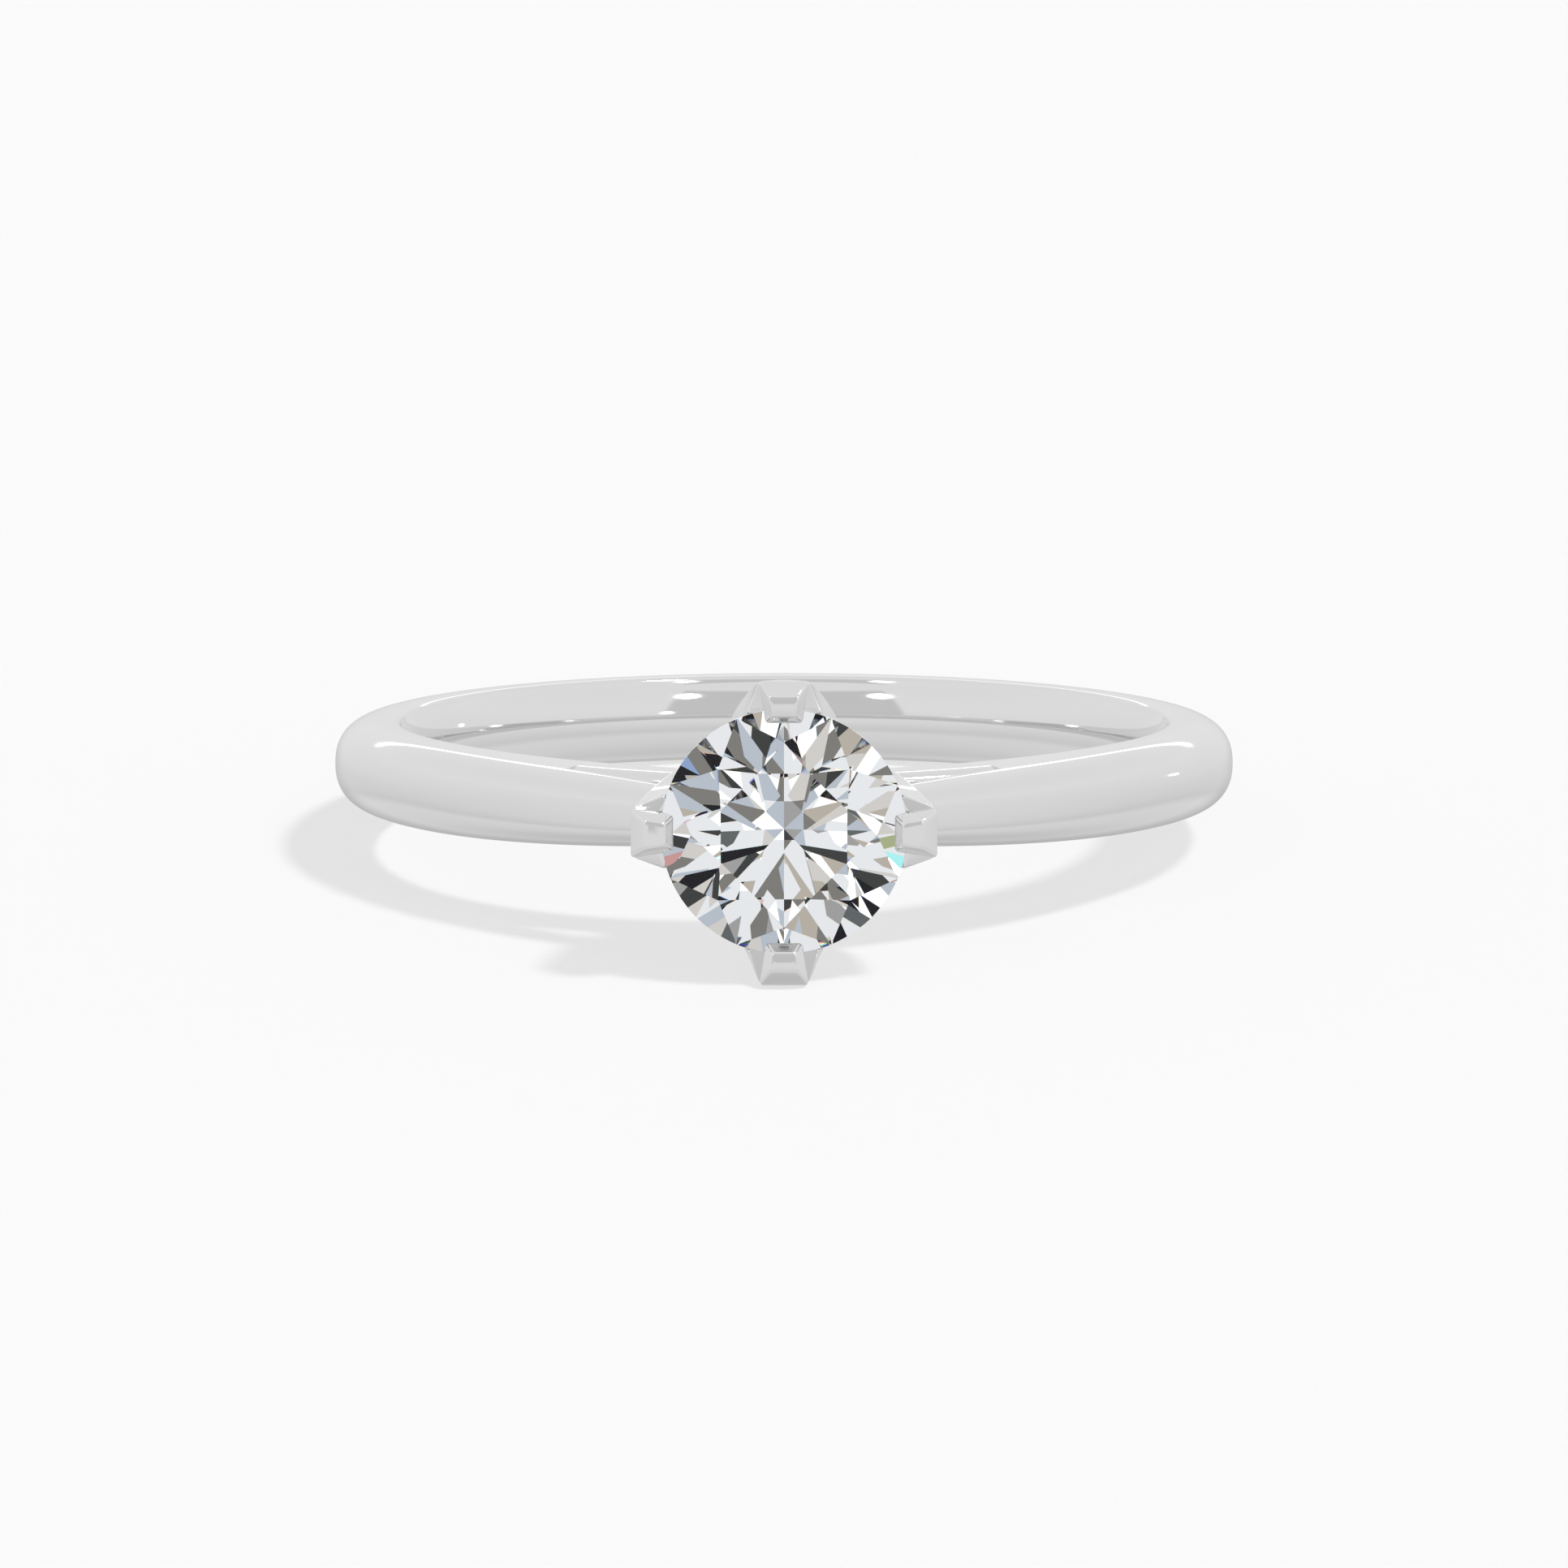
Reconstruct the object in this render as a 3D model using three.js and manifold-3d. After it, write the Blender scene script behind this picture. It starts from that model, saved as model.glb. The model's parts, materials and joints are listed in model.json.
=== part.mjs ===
// A cathedral solitaire engagement ring: a domed band whose shoulders sweep up to a four-claw
// tulip head, holding one round brilliant diamond. Millimetres.
//
// The ring is laid out round its finger axis: Z is the finger axis, the stone faces -Y, and
// angles are measured from the stone, round the finger. At the end the whole ring is laid down
// as it rests on a table, on its south claw and the back of its band.

import * as THREE from 'three';
import Module from 'manifold-3d';
import { ConvexGeometry } from 'three/addons/geometries/ConvexGeometry.js';
import { LoftGeometry } from 'three/addons/geometries/LoftGeometry.js';
import { mergeVertices } from 'three/addons/utils/BufferGeometryUtils.js';

const wasm = await Module();
wasm.setup();

const SOLDER = 0.025; // gap left for the solder in every seam

// Band
const RIM_RADIUS = 8.25; // where the finger hole meets the band's flat sides
const COMFORT = 0.3; // how far the middle of the inner face bulges towards the finger
const BAND_THICKNESS = 1.32;
const BAND_HALF_WIDTH = 0.925;
const SIDE_FLAT = 0.25; // share of the thickness whose sides are flat
const BAND_DOME = 2.35; // power of the superellipse that domes the outside
const DOME_STEPS = 18; // round the outside of a section
const INNER_STEPS = 6; // across its inside
const SHANK_END = 60; // degrees from the stone where the shank meets the shoulders
const SHANK_STEPS = 48; // every 5 degrees

// Shoulders
const RISE_START = 60; // degrees from the stone where the shoulders begin to rise
const RISE_END = 16; // degrees from the stone where they reach the head
const RISE = 0.9; // how much higher the outside is there
const RIM_NARROWING = 0.11; // how much the half-width shrinks at the finger
const TOP_NARROWING = 0.22; // and how much more it shrinks on the outside
const NARROWING_POWER = 1.5; // above one, so that the sides leave the band without a kink
const SHOULDER_DOME = 4.5; // power of the dome at the head, where the edges are crisp
const SHOULDER_CUT_END = 10; // degrees from the stone, inside the head
const SHOULDER_STEPS = 26;

// Bridge, the piece of finger rail under the head
const BRIDGE_END = 29; // degrees from the stone where the shoulders split from it
const BRIDGE_THICKNESS = 0.87;
const BRIDGE_TAPER = 0.055; // how much narrower its outside is than its inside, on each side
const BRIDGE_DOME = 6;
const BRIDGE_STEPS = 20;
const SPLIT_RISE = 0.56; // how far the shoulders stand off the bridge at the head
const SPLIT_POWER = 1.3;
const SPLIT_STEPS = 12;
const SPLIT_OVERRUN = 4; // degrees that the split's cut runs on past the shoulder's end

// Diamond, a round brilliant
const STONE_RADIUS = 2.5;
const GIRDLE_HEIGHT = 12.18; // from the finger axis to the middle of the girdle
const GIRDLE_THICKNESS = 0.15;
const TABLE_SHARE = 0.555; // table width across its corners, as a share of the stone's
const CROWN_ANGLE = 34.5;
const PAVILION_ANGLE = 40.75;
const STAR_SHARE = 0.5; // how far the star facets reach from the table to the girdle
const LOWER_HALF_SHARE = 0.77; // how far the lower halves reach from the girdle to the culet
const STONE_FOLDS = 8;
const ARC_STEPS = 3; // steps along the girdle edge of each half facet

// Head
const HEAD_RADIUS = 3.11; // over the backs of the claws
const BELLY_TOP = 11.95; // above this the backs of the claws are straight
const BELLY_LEAN = 0.24; // below it the tulip draws in, by this slope and this cubic
const BELLY_CURVE = 0.035;
const WALL = 0.75;
const PETAL_BASE = 9.5; // where the petals of the claws stand on the collet
const SEAT_PLAY = 0.02; // how far the claws stand off the stone
const PETAL_TOP = { inner: 12.2, outer: 12.45 }; // the ledges beside the tabs tilt inwards
const CLAW_HALF_WIDTH = 0.5; // at the back of its top
const SPREAD = { top: 12.2, first: 0.1, second: 0.075 }; // below its top a petal widens
const FLANK = 0.29; // how much wider a petal is inside than at its back
const FLANK_DEPTH = 2; // at this depth it is no longer so
const COLLET_FOOT = 8.7; // below the saddle that fits the collet to the bridge
const COLLET_FOOT_RADIUS = 1.5;
const COLLET_WAIST = { height: 9.1, share: 0.2 }; // share of the way from foot radius to top radius
const PEG_RADIUS = 0.4;
const PEG_TIP = 8.45; // stops just short of the finger
const RIVET_RADIUS = 0.65;
const RIVET_HEIGHT = 0.18;
const RIVET_SHOULDER = { radius: 0.57, share: 0.7 }; // share of the rivet's height
const TAB_ROOT = 12.1; // the tabs rise out of the petals and lean over the stone
const TAB_BEVEL_HEIGHT = 12.52;
const TAB_TOP = 12.8;
const TAB_FOOTPRINT = {
  inner: 2.25,
  innerHalf: 0.375,
  outer: HEAD_RADIUS,
  outerHalf: CLAW_HALF_WIDTH,
};
const TAB_FLAT = { inner: 2.4, innerHalf: 0.25, outer: 2.83, outerHalf: 0.31 };
const LATHE_STEPS = 64;
const SADDLE_STEPS = 128;
const CURVE_STEPS = 14;
const PETAL_STEPS = 16;

// Resting on the table
const REST_STEPS = 30; // halvings of the search for the lean
const REST_MOST = 15; // degrees

const radians = THREE.MathUtils.degToRad;
const mix = THREE.MathUtils.lerp;
const clamp = THREE.MathUtils.clamp;

// Solids

function toSolid(geometry) {
  const bare = new THREE.BufferGeometry();
  bare.setAttribute('position', geometry.attributes.position);
  bare.setIndex(geometry.index);
  const merged = mergeVertices(bare, 1e-5);
  const corners = merged.index.array;
  const kept = [];
  for (let i = 0; i < corners.length; i += 3) {
    const [a, b, c] = corners.slice(i, i + 3);
    if (a !== b && b !== c && c !== a) kept.push(a, b, c);
  }
  return new wasm.Manifold(new wasm.Mesh({
    numProp: 3,
    vertProperties: new Float32Array(merged.attributes.position.array),
    triVerts: new Uint32Array(kept),
  }));
}

function toGeometry(solid) {
  const mesh = solid.getMesh();
  const geometry = new THREE.BufferGeometry();
  geometry.setAttribute('position', new THREE.BufferAttribute(mesh.vertProperties, 3));
  geometry.setIndex(new THREE.BufferAttribute(mesh.triVerts, 1));
  return geometry;
}

// Band pieces

function roundFinger(angle, radius, z) {
  return new THREE.Vector3(
    radius * Math.sin(radians(angle)), -radius * Math.cos(radians(angle)), z);
}

// One cross-section of a band piece: flat sides, a domed outside and a slightly domed inside.
function bandSection({ angle, thickness, rimWidth, topWidth, dome }) {
  const halfWidth = (share) => mix(rimWidth, topWidth, share);
  const points = [roundFinger(angle, RIM_RADIUS, rimWidth)];
  for (let i = 0; i <= DOME_STEPS; i++) {
    const turn = Math.PI * i / DOME_STEPS;
    const across = Math.sign(Math.cos(turn)) * Math.abs(Math.cos(turn)) ** (2 / dome);
    const share = SIDE_FLAT + (1 - SIDE_FLAT) * Math.sin(turn) ** (2 / dome);
    points.push(roundFinger(angle, RIM_RADIUS + thickness * share, halfWidth(share) * across));
  }
  for (let i = 0; i < INNER_STEPS; i++) {
    const across = -1 + 2 * i / INNER_STEPS;
    points.push(roundFinger(
      angle, RIM_RADIUS - COMFORT * (1 - across ** 2), rimWidth * across));
  }
  return points;
}

function sweep(from, to, steps, sectionAt) {
  const sections = [];
  for (let i = 0; i <= steps; i++) sections.push(bandSection(sectionAt(mix(from, to, i / steps))));
  return new LoftGeometry(sections, { capStart: true, capEnd: true });
}

function shank() {
  return toSolid(sweep(SHANK_END, 360 - SHANK_END, SHANK_STEPS, (angle) => ({
    angle,
    thickness: BAND_THICKNESS,
    rimWidth: BAND_HALF_WIDTH,
    topWidth: BAND_HALF_WIDTH,
    dome: BAND_DOME,
  })));
}

function shoulderSection(angle) {
  const way = Math.max(0, (RISE_START - angle) / (RISE_START - RISE_END));
  const rimWidth = BAND_HALF_WIDTH - RIM_NARROWING * way ** NARROWING_POWER;
  return {
    angle,
    thickness: BAND_THICKNESS + RISE * way ** 2,
    rimWidth,
    topWidth: rimWidth - TOP_NARROWING * way ** 2,
    dome: mix(BAND_DOME, SHOULDER_DOME, way ** NARROWING_POWER),
  };
}

// What is cut away between the bridge and the shoulder that rises off it.
function splitCut() {
  const far = SHOULDER_CUT_END - SPLIT_OVERRUN;
  const inside = RIM_RADIUS - 2 * COMFORT;
  const outline = new THREE.Shape();
  outline.moveTo(0, -inside);
  for (let i = 0; i <= SPLIT_STEPS; i++) {
    const angle = mix(BRIDGE_END, far, i / SPLIT_STEPS);
    const way = (BRIDGE_END - angle) / (BRIDGE_END - RISE_END);
    const radius = RIM_RADIUS + BRIDGE_THICKNESS + SOLDER + SPLIT_RISE * way ** SPLIT_POWER;
    if (i === 0) {
      const inner = roundFinger(angle, inside, 0);
      outline.lineTo(inner.x, inner.y);
    }
    const point = roundFinger(angle, radius, 0);
    outline.lineTo(point.x, point.y);
  }
  const depth = 4 * BAND_HALF_WIDTH;
  const cut = new THREE.ExtrudeGeometry(outline, { depth, bevelEnabled: false });
  cut.translate(0, 0, -depth / 2);
  return toSolid(cut);
}

function shoulder(headRoom) {
  const start = SHANK_END - solderAngle();
  return toSolid(sweep(SHOULDER_CUT_END, start, SHOULDER_STEPS, shoulderSection))
    .subtract(splitCut())
    .subtract(headRoom);
}

function solderAngle() {
  return THREE.MathUtils.radToDeg(SOLDER / RIM_RADIUS);
}

function bridge() {
  const end = BRIDGE_END - solderAngle();
  const body = sweep(-end, end, BRIDGE_STEPS, (angle) => {
    const { rimWidth } = shoulderSection(Math.abs(angle));
    return {
      angle,
      thickness: BRIDGE_THICKNESS,
      rimWidth,
      topWidth: rimWidth - BRIDGE_TAPER,
      dome: BRIDGE_DOME,
    };
  });
  return toSolid(body).subtract(intoRing(peg(SOLDER)));
}

// Head pieces, in the head's own frame: Y is the height from the finger axis, and X and Z are
// measured from the head's axis. Each claw is made on the +Z side.

// Radius of the tulip's outside at a height.
function petalBack(height) {
  const drop = Math.max(0, BELLY_TOP - height);
  return HEAD_RADIUS - BELLY_LEAN * drop - BELLY_CURVE * drop ** 3;
}

// Half the width of a petal at its back.
function petalHalfWidth(height) {
  const drop = Math.max(0, SPREAD.top - height);
  return CLAW_HALF_WIDTH + SPREAD.first * drop + SPREAD.second * drop ** 2;
}

// The tulip's wall from the petals' base up to a height, moved outwards.
function wallProfile(outward, top) {
  const points = [];
  for (let i = 0; i <= CURVE_STEPS; i++) {
    const height = mix(PETAL_BASE, BELLY_TOP, i / CURVE_STEPS);
    points.push(new THREE.Vector2(petalBack(height) + outward, height));
  }
  points.push(new THREE.Vector2(HEAD_RADIUS + outward, top));
  return points;
}

function revolved(profile) {
  return toSolid(new THREE.LatheGeometry(profile, LATHE_STEPS));
}

function cup() {
  const outside = wallProfile(0, PETAL_TOP.outer);
  return revolved([...outside, ...wallProfile(-WALL, PETAL_TOP.inner).reverse(), outside[0]]);
}

// What a petal keeps of the cup: at its top the flanks slant in towards its back, and on the
// way down they spread to meet its neighbours.
function petalRoom() {
  const inner = 0;
  const outer = HEAD_RADIUS + WALL / 2; // well clear of the cup
  const sections = [];
  for (let i = 0; i <= PETAL_STEPS; i++) {
    const height = mix(PETAL_BASE - SOLDER, TAB_TOP, i / PETAL_STEPS);
    const slant = FLANK * clamp(1 - (SPREAD.top - height) / FLANK_DEPTH, 0, 1) / WALL;
    const halfWidthAt = (radius) => petalHalfWidth(height) + slant * (petalBack(height) - radius);
    sections.push([
      new THREE.Vector3(-halfWidthAt(outer), height, outer),
      new THREE.Vector3(halfWidthAt(outer), height, outer),
      new THREE.Vector3(halfWidthAt(inner), height, inner),
      new THREE.Vector3(-halfWidthAt(inner), height, inner),
    ]);
  }
  return toSolid(new LoftGeometry(sections, { capStart: true, capEnd: true }));
}

// The quarter of the head that belongs to one claw, less half a solder seam on each side.
function quarterWedge() {
  const reach = 2 * HEAD_RADIUS;
  const wedge = new THREE.Shape([
    new THREE.Vector2(0, SOLDER), new THREE.Vector2(reach, reach + SOLDER),
    new THREE.Vector2(-reach, reach + SOLDER),
  ]);
  const body = new THREE.ExtrudeGeometry(wedge, { depth: 2 * TAB_TOP, bevelEnabled: false });
  return toSolid(body.rotateX(Math.PI / 2).translate(0, 2 * TAB_TOP, 0));
}

function tab() {
  const corners = [];
  const ring = ({ inner, innerHalf, outer, outerHalf }, height) => {
    for (const side of [-1, 1]) {
      corners.push(new THREE.Vector3(side * innerHalf, height, inner));
      corners.push(new THREE.Vector3(side * outerHalf, height, outer));
    }
  };
  ring(TAB_FOOTPRINT, TAB_ROOT);
  ring(TAB_FOOTPRINT, TAB_BEVEL_HEIGHT);
  ring(TAB_FLAT, TAB_TOP);
  return toSolid(new ConvexGeometry(corners));
}

function claw() {
  return cup()
    .intersect(petalRoom())
    .intersect(quarterWedge())
    .add(tab())
    .subtract(stoneSeat());
}

function collet() {
  const top = PETAL_BASE - SOLDER;
  const waist = new THREE.Vector2(
    mix(COLLET_FOOT_RADIUS, petalBack(top), COLLET_WAIST.share), COLLET_WAIST.height);
  const body = revolved([
    new THREE.Vector2(0, COLLET_FOOT), new THREE.Vector2(COLLET_FOOT_RADIUS, COLLET_FOOT), waist,
    new THREE.Vector2(petalBack(top), top), new THREE.Vector2(0, top),
  ]);
  const bridgeTop = RIM_RADIUS + BRIDGE_THICKNESS + SOLDER;
  const saddle = new THREE.CylinderGeometry(bridgeTop, bridgeTop, 4 * HEAD_RADIUS, SADDLE_STEPS);
  return body.subtract(toSolid(saddle.rotateX(Math.PI / 2))).subtract(peg(SOLDER));
}

// The rivet that pins the head to the bridge: a round shank with a low domed head.
function peg(grow) {
  const seat = PETAL_BASE;
  return revolved([
    [0, PEG_TIP - grow], [PEG_RADIUS + grow, PEG_TIP - grow], [PEG_RADIUS + grow, seat],
    [RIVET_RADIUS, seat], [RIVET_SHOULDER.radius, seat + RIVET_SHOULDER.share * RIVET_HEIGHT],
    [0, seat + RIVET_HEIGHT],
  ].map(([radius, height]) => new THREE.Vector2(radius, height)));
}

function intoRing(headSolid) {
  return headSolid.rotate([0, 0, 180]);
}

// Every corner of the brilliant, in the head's frame. Main facets and half facets are exact
// planes, and the girdle is round, so its edge waves up and down between the facets.
function brilliantCorners(scale) {
  const step = Math.PI / STONE_FOLDS; // from a main facet's middle to the next half facet edge
  const crown = Math.tan(radians(CROWN_ANGLE));
  const pavilion = Math.tan(radians(PAVILION_ANGLE));
  const table = STONE_RADIUS * TABLE_SHARE;
  const girdleTop = GIRDLE_THICKNESS / 2;
  const tableHeight = girdleTop + (STONE_RADIUS - table) * crown;
  const culet = -girdleTop - STONE_RADIUS * pavilion;
  const starRadius = mix(table * Math.cos(step), STONE_RADIUS, STAR_SHARE);
  const starHeight = tableHeight - (starRadius * Math.cos(step) - table) * crown;
  const lowerRadius = STONE_RADIUS * (1 - LOWER_HALF_SHARE);
  const lowerHeight = culet + lowerRadius * Math.cos(step) * pavilion;
  const corners = [];
  const corner = (turn, radius, height) => {
    corners.push(new THREE.Vector3(
      scale * radius * Math.sin(turn), GIRDLE_HEIGHT + scale * height,
      scale * radius * Math.cos(turn)));
  };
  // A half facet leans on the junction point and two girdle points, a step apart.
  const edgeHeight = (away, radius, height, rim) => {
    const inward = (STONE_RADIUS - STONE_RADIUS * Math.cos(step)) / Math.sin(step);
    const slope = (rim - height) / (STONE_RADIUS - radius);
    const depth = STONE_RADIUS * (Math.cos(away) + inward / STONE_RADIUS * Math.sin(away));
    return rim + slope * (depth - STONE_RADIUS);
  };
  corner(0, 0, culet);
  for (let fold = 0; fold < STONE_FOLDS; fold++) {
    const starTurn = 2 * step * fold;
    const mainTurn = starTurn + step;
    corner(mainTurn, table, tableHeight);
    corner(starTurn, starRadius, starHeight);
    corner(starTurn, lowerRadius, lowerHeight);
    for (let i = -ARC_STEPS + 1; i <= ARC_STEPS; i++) {
      const away = step * i / ARC_STEPS;
      const distance = Math.abs(away);
      corner(starTurn + away, STONE_RADIUS,
        edgeHeight(distance, starRadius, starHeight, girdleTop));
      corner(starTurn + away, STONE_RADIUS,
        edgeHeight(distance, lowerRadius, lowerHeight, -girdleTop));
    }
  }
  return corners;
}

function diamond() {
  return toSolid(new ConvexGeometry(brilliantCorners(1)));
}

function stoneSeat() {
  return toSolid(new ConvexGeometry(brilliantCorners(1 + SEAT_PLAY / STONE_RADIUS)));
}

// The room that the head takes out of the shoulders.
function headRoom() {
  return intoRing(revolved([
    new THREE.Vector2(0, COLLET_FOOT), new THREE.Vector2(COLLET_FOOT_RADIUS, COLLET_FOOT),
    ...wallProfile(SOLDER, PETAL_TOP.outer), new THREE.Vector2(0, PETAL_TOP.outer),
  ]));
}

// Assembly

const whiteGold = { color: 0xdcdcde, roughness: 0.12, metalness: 1 };
const stoneLook = { color: 0xf4f8ff, roughness: 0.02, metalness: 0 };

function piece(name, solid, look) {
  const mesh = new THREE.Mesh(toGeometry(solid), new THREE.MeshStandardMaterial(look));
  mesh.name = name;
  return mesh;
}

const ring = new THREE.Group();
const right = shoulder(headRoom());
const left = right.mirror([1, 0, 0]);
ring.add(piece('shank', shank(), whiteGold));
ring.add(piece('shoulder_right', right, whiteGold));
ring.add(piece('shoulder_left', left, whiteGold));
ring.add(piece('bridge', bridge(), whiteGold));

const head = new THREE.Group();
head.rotation.z = Math.PI;
ring.add(head);
head.add(piece('base_collet', collet(), whiteGold));
head.add(piece('head_peg', peg(0), whiteGold));
head.add(piece('diamond', diamond(), stoneLook));
const clawSolid = claw();
['north', 'west', 'south', 'east'].forEach((side, index) => {
  const mesh = piece(`claw_${side}`, clawSolid, whiteGold);
  mesh.rotation.y = index * Math.PI / 2;
  head.add(mesh);
});

// Lay the ring down: tip it until its south claw and the back of its band touch the table.
function lowest(name) {
  const box = new THREE.Box3().setFromObject(ring.getObjectByName(name), true);
  return box.min.z;
}

const model = new THREE.Group();
model.add(ring);
let low = 0;
let high = REST_MOST;
for (let i = 0; i < REST_STEPS; i++) {
  const tilt = (low + high) / 2;
  ring.rotation.x = -radians(tilt);
  model.updateMatrixWorld(true);
  if (lowest('claw_south') < lowest('shank')) low = tilt;
  else high = tilt;
}
const box = new THREE.Box3().setFromObject(ring, true);
const middle = box.getCenter(new THREE.Vector3());
ring.position.set(-middle.x, -middle.y, -box.min.z);

export default model;
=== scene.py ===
"""A cathedral solitaire ring in polished white gold with a round brilliant, lying on a pale table.

Sizes are millimetres in the ring's own frame: Z is the finger axis, the stone faces -Y, and
angles are degrees round the finger from the stone. The record's finger_hole mount says where
that frame lies in the scene.
"""

import json
import math

import bmesh
import bpy
import numpy as np
from mathutils import Matrix, Vector


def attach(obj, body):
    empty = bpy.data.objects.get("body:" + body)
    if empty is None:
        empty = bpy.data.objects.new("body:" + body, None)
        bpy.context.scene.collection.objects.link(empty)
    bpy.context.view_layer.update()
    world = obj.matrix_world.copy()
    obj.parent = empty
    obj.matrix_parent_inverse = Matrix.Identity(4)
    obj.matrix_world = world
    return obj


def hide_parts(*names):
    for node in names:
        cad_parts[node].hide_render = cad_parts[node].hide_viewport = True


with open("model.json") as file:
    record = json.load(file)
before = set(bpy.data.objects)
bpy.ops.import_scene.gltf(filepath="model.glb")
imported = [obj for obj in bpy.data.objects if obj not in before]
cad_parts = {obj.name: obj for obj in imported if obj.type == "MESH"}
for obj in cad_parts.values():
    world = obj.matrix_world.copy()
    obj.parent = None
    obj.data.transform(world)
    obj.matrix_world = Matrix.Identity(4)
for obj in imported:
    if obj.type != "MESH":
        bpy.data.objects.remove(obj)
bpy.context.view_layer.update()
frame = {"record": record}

MM = 0.001
JOIN = 0.03  # how far one soldered piece sinks into the next
WELD, SLIVER = 1e-4, 1e-5  # points closer than this become one, and edges shorter than this go
SMOOTH_ANGLE = 28  # degrees, above which an edge is drawn sharp
ROUND_STEPS = 6  # points round a quarter turn

# Band
RIM_RADIUS = 8.25  # of the finger hole at its sides
RIM_ROUND = 0.1
COMFORT = 0.3  # how much less it is at the hole's middle
BAND_THICKNESS = 1.32
BAND_HALF_WIDTH = 0.925
SIDE_FLAT = 0.25  # the share of the thickness below the dome
BAND_DOME = 2.35  # the exponent of the dome's curve: 2 is an ellipse, more is squarer

# Shoulders
RISE_START, RISE_END = 60, 16  # the arms rise between these angles
RISE = 0.9
RIM_NARROWING, TOP_NARROWING, NARROWING_POWER = 0.11, 0.22, 1.5
SHOULDER_DOME = 4.5  # the band's dome has become this where the rise ends
ARM_ROUND = 0.05
ARM_STEPS, UNDER_STEPS = 48, 8  # along the free part of an arm, and across its underside
ARM_SEARCH = (23, 6)  # the arms meet the head between these angles

# Bridge
BRIDGE_END = 29
BRIDGE_THICKNESS = 0.87
BRIDGE_TAPER = 0.055
BRIDGE_DOME = 6
BRIDGE_DOME_START = 0.5
SPLIT_GAP, SPLIT_RISE, SPLIT_POWER = 0.025, 0.56, 1.3  # how the arms stand off it

# Diamond
STONE_RADIUS = 2.5
GIRDLE_HEIGHT = 12.18
GIRDLE_THICKNESS = 0.15
TABLE_SHARE = 0.555
CROWN_ANGLE = 34.5
PAVILION_ANGLE = 40.75
STAR_SHARE = 0.5
LOWER_HALF_SHARE = 0.77
STONE_FOLDS = 8
ARC_STEPS = 6  # pieces of the girdle's edge along each half facet
GIRDLE_FACING = 0.1  # the most that the normal of a girdle face leans along the stone's axis
DIAMOND_IOR = 2.417
FIRE = 0.016  # how far the index of red and blue light stands from that of green
FIRE_STRENGTH = 0.45  # 0 leaves the light white, 1 splits it fully
GEM_SHINE = 0.12  # the strength of the mirror on the stone's outside
ALL_MIRRORED = 0.99  # the Fresnel share from which nothing leaves the stone
GIRDLE_TINT = (0.96, 0.98, 1)
GIRDLE_GRAIN, GIRDLE_DETAIL, GIRDLE_ROUGHNESS = 9000, 2, (0.02, 0.06)

# Head
HEAD_RADIUS = 3.11
BELLY_TOP = 11.95  # above this the backs of the claws are straight
BELLY_SLOPE, BELLY_CURVE = 0.24, 0.035  # and below it the tulip closes
PETAL_BASE = 9.5
PETAL_LEVELS = 60
PETAL_ARC = 12  # steps across a petal's back and front
WALL = 0.75
CLAW_HALF_WIDTH = 0.5
CLAW_ROUND = 0.09
SPREAD_TOP, SPREAD, FLARE = 12.2, 0.1, 0.075  # below this the petals widen
FLANK, FLANK_DEPTH = 0.29, 2.0  # how much wider a petal is inside at its top, and to what depth
STAND_OFF = 0.02  # between the claws and the stone
TAB_TIP_RADIUS, TAB_TIP_HALF_WIDTH, TAB_TIP_UNDER = 2.25, 0.375, 12.475
TAB_ROOT_RADIUS, TAB_ROOT_TOP, TAB_ROOT_TILT = 2.52, 12.4, 0.25  # outside the girdle
TAB_BEVEL_HEIGHT, TAB_TOP = 12.52, 12.8
TAB_FLAT = (2.4, 0.25, 2.83, 0.31)  # inner radius and half-width, outer radius and half-width
TAB_ROUND = 0.08
# The soft edges below and above a tab's bevel, each a curve through points given as (share of
# the way in to the flat, share of the way up the bevel).
TAB_LOW_EDGE = ((0, -0.15), (0, 0), (0.42, 0.42))
TAB_HIGH_EDGE = ((0.6, 0.6), (1, 1), (1.25, 1))
LEDGE, LEDGE_ROUND = 12.22, 0.1  # the ledges beside the tabs, where they meet the stone
LEDGE_TILT, TILT_BASE = 0.38, 11.5  # they climb away from it
LEDGE_STEP = 0.005  # from the ledges up to the first outline of the tab
CONTACT = 0.005  # the gap above and below the collet
SEAM = 0.0125  # half the gap between two petals
COLLET_TOP = PETAL_BASE - CONTACT
COLLET_INSET = 0.02  # inside the petals' backs
COLLET_ROUND = 0.05
COLLET_EDGE = (0.012, 0.014)  # the middle of its rounded edge, in from the side and down
COLLET_FOOT_RADIUS, COLLET_FOOT_ROUND, COLLET_FOOT_RISE = 1.55, 0.04, 0.01
COLLET_LEVELS = (0.35, 0.6, 0.8, 0.93, 1.0)  # shares of the way down its side
COLLET_SWEEP = 1.6  # the exponent of the curve that the side draws in by
COLLET_AROUND = 96
RIVET_RADIUS, RIVET_HEIGHT, RIVET_SQUARENESS = 0.65, 0.18, 0.8
RIVET_STEPS, RIVET_AROUND = 12, 48
AXIS_RADIUS, RIVET_AXIS_RADIUS = 0.05, 0.02  # where the pieces close over the head's axis

# Metal and paper
BAND_GOLD, BAND_SCRATCHES = (0.79, 0.79, 0.795), 150  # colour, and scratches per metre
HEAD_GOLD, HEAD_SCRATCHES = (0.8, 0.8, 0.805), 220
SCRATCH_STRETCH, SCRATCH_DETAIL = 14, 6  # they lie this much closer along the finger axis
METAL_ROUGHNESS = (0.035, 0.085)
HAZE_SCALE, HAZE_DETAIL, HAZE_TONE = 900, 4, 0.985
PAPER, PAPER_ROUGHNESS = 0.9, 0.9

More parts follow.
